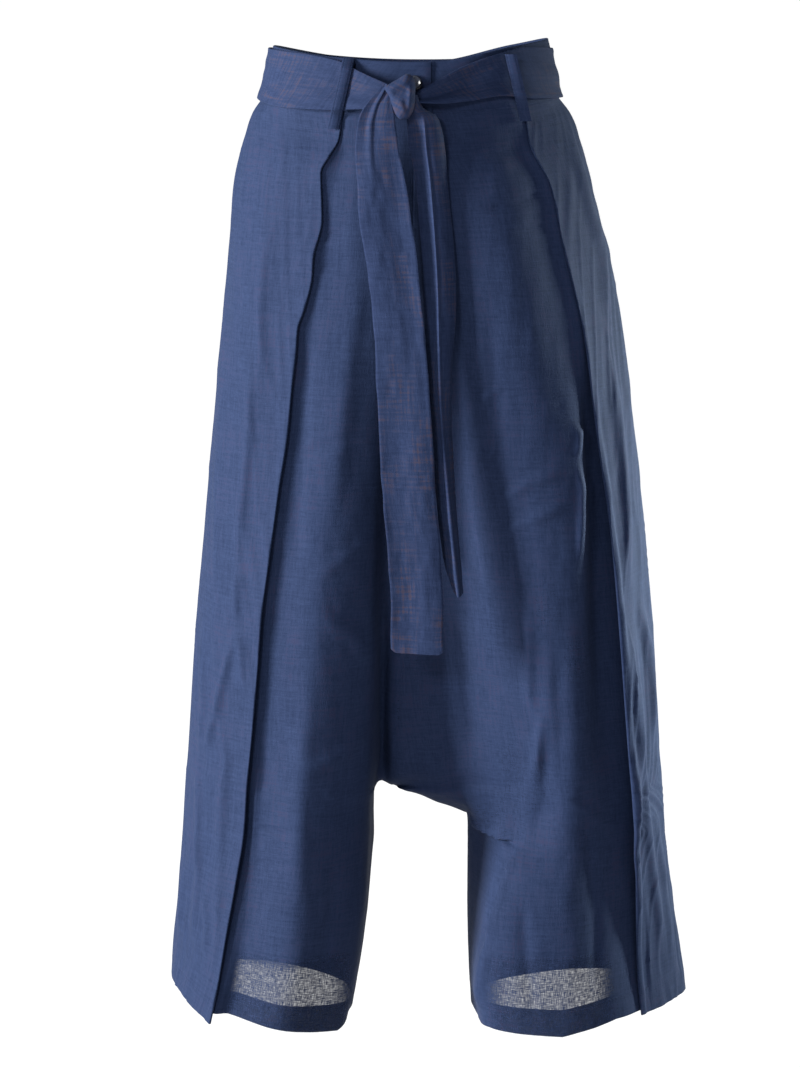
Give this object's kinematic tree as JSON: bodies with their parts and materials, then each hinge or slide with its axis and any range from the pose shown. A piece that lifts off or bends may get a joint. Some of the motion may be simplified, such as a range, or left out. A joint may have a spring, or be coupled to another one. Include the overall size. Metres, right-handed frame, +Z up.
{
  "type": "drop-crotch trousers",
  "caption": "Wide linen trousers with a dropped crotch, deep knife pleats at the front, a tie belt through loops and open hems.",
  "frame": {"origin": "centre of the waist opening, level with the waistband's top edge at the sides, where the wearer's waist holds it", "axes": "+Z up, +Y to the back, +X to the wearer's left"},
  "size_m": [0.497, 0.253, 0.9138],
  "materials": {
    "linen": "plain-weave linen, dusty blue, slubby, partly sheer",
    "belt_linen": "the same linen, double, with a faint warm cast",
    "button_resin": "dark polished resin"
  },
  "bodies": {
    "root": {"front_right": "linen", "front_left": "linen", "back_right": "linen", "back_left": "linen", "waistband": "linen", "belt_band": "belt_linen", "belt_knot": "belt_linen", "belt_tail_wide": "belt_linen", "belt_tail_edge": "belt_linen", "loop_right": "linen", "loop_left": "linen", "loop_back": "linen", "waist_button": "button_resin"}
  },
  "joints": []
}
